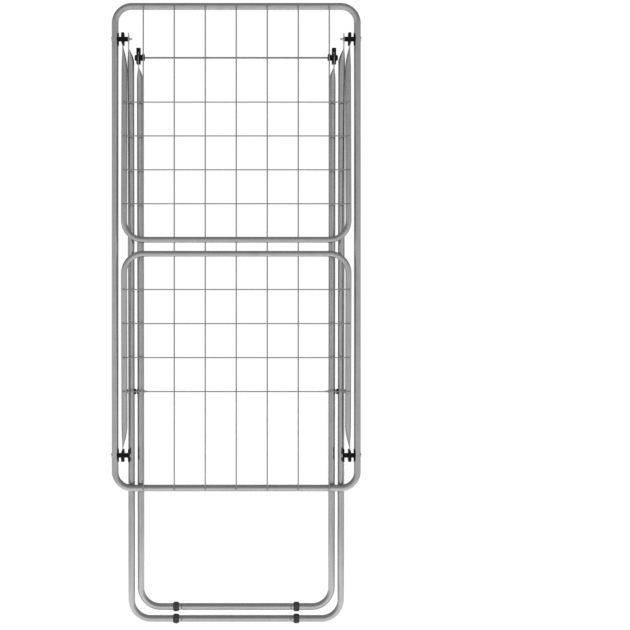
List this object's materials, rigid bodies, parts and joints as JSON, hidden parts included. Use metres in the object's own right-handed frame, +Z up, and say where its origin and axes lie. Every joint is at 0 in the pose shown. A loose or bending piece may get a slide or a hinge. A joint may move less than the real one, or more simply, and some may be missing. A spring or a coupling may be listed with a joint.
{
  "type": "folding winged clothes airer",
  "caption": "Free-standing clothes airer of bent tube and wire, folded flat: a rack with two fold-out wings and crossed U legs whose upper ends hinge and slide on the rack.",
  "frame": {"origin": "on the floor, under the middle of the folded airer's box", "axes": "+X to the right, -Y to the front where the wings lie, +Z up along the folded rack"},
  "size_m": [0.5498, 0.0586, 1.3713],
  "materials": {
    "tube_metal": "satin silver-grey coat on steel tube",
    "wire_metal": "satin silver-grey coat on drawn steel wire",
    "plain_steel": "bright zinc-plated steel",
    "black_fitting": "moulded black plastic, fine grain",
    "black_foot": "soft moulded black plastic"
  },
  "bodies": {
    "rack": {"rack_tube_right": "tube_metal", "rack_tube_left": "tube_metal", "rack_joint_sleeves": "plain_steel", "rack_guide_wires": "wire_metal", "rack_wires": "wire_metal", "upper_hinge_bushes": "black_fitting", "lower_hinge_bushes": "black_fitting", "lower_hinge_washers": "black_fitting", "upper_hinge_rivets": "plain_steel", "lower_hinge_rivets": "plain_steel"},
    "upper_wing": {"upper_wing_tube_right": "tube_metal", "upper_wing_tube_left": "tube_metal", "upper_wing_joint_sleeve": "plain_steel", "upper_wing_wires": "wire_metal", "upper_wing_cap_right": "black_fitting", "upper_wing_cap_left": "black_fitting"},
    "lower_wing": {"lower_wing_tube_left": "tube_metal", "lower_wing_tube_right": "tube_metal", "lower_wing_joint_sleeve": "plain_steel", "lower_wing_wires": "wire_metal", "lower_wing_cap_left": "black_fitting", "lower_wing_cap_right": "black_fitting"},
    "outer_leg": {"outer_leg_tube_right": "tube_metal", "outer_leg_tube_left": "tube_metal", "outer_leg_joint_sleeve": "plain_steel", "outer_leg_foot_right": "black_foot", "outer_leg_foot_left": "black_foot", "outer_pivot_rivets": "plain_steel", "outer_pivot_washers": "black_fitting"},
    "slider": {"slider_right": "black_fitting", "slider_left": "black_fitting", "slider_axle": "plain_steel"},
    "inner_leg": {"inner_leg_tube_right": "tube_metal", "inner_leg_tube_left": "tube_metal", "inner_leg_joint_sleeve": "plain_steel", "inner_leg_foot_right": "black_foot", "inner_leg_foot_left": "black_foot", "inner_pivot_rivets": "plain_steel", "inner_pivot_washers": "black_fitting"}
  },
  "joints": [
    {"name": "outer_leg_fold", "type": "hinge", "parent": "rack", "child": "outer_leg", "pos_m": [0, -0.00566, 1.29177], "axis": [1, 0, 0], "range_deg": [0, 47.39]},
    {"name": "slider_slide", "type": "slide", "parent": "rack", "child": "slider", "axis": [0, 0, -1], "range_m": [0, 0.92545]},
    {"name": "inner_leg_turn", "type": "hinge", "parent": "slider", "child": "inner_leg", "pos_m": [0, -0.00488, 1.25072], "axis": [1, 0, 0], "range_deg": [0, 126.77]},
    {"name": "upper_wing_fold", "type": "hinge", "parent": "rack", "child": "upper_wing", "pos_m": [0, -0.00566, 1.29177], "axis": [-1, 0, 0], "range_deg": [0, 165.6]},
    {"name": "lower_wing_fold", "type": "hinge", "parent": "rack", "child": "lower_wing", "pos_m": [0, -0.00566, 0.37577], "axis": [1, 0, 0], "range_deg": [0, 165.6]}
  ],
  "couplings": [
    {"joint": "slider_slide", "follows": "outer_leg_fold", "m_per_rad": 1.1182},
    {"joint": "inner_leg_turn", "follows": "outer_leg_fold", "ratio": 2.6748}
  ]
}
